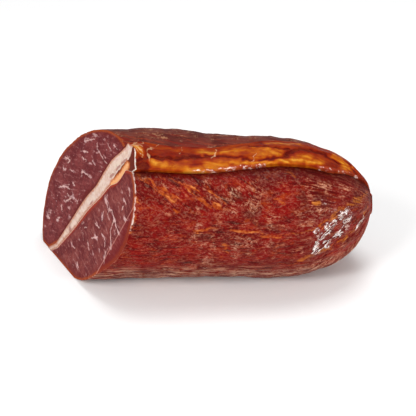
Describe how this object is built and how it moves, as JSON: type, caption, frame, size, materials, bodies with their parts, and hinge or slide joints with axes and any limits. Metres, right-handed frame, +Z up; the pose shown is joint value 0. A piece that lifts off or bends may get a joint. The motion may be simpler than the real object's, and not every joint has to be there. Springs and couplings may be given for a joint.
{
  "type": "cured black pork loin",
  "caption": "Cured pork loin piece lying on its side, cut at an angle across one end, with a gathered round tail and a fat seam that comes out as a raised amber strip.",
  "frame": {"origin": "centre of the bounding box's underside, on the surface that the piece lies on", "axes": "+X along the loin from the cut face to the tail, +Z up, -Y towards the side that the picture shows"},
  "size_m": [0.1668, 0.0796, 0.0847],
  "materials": {
    "back_meat": "dry, dull and finely fibrous",
    "fat": "waxy and translucent",
    "front_meat": "oily, satin with wet glints"
  },
  "bodies": {
    "root": {"back_muscle": "back_meat", "fat_seam": "fat", "front_muscle": "front_meat"}
  },
  "joints": []
}
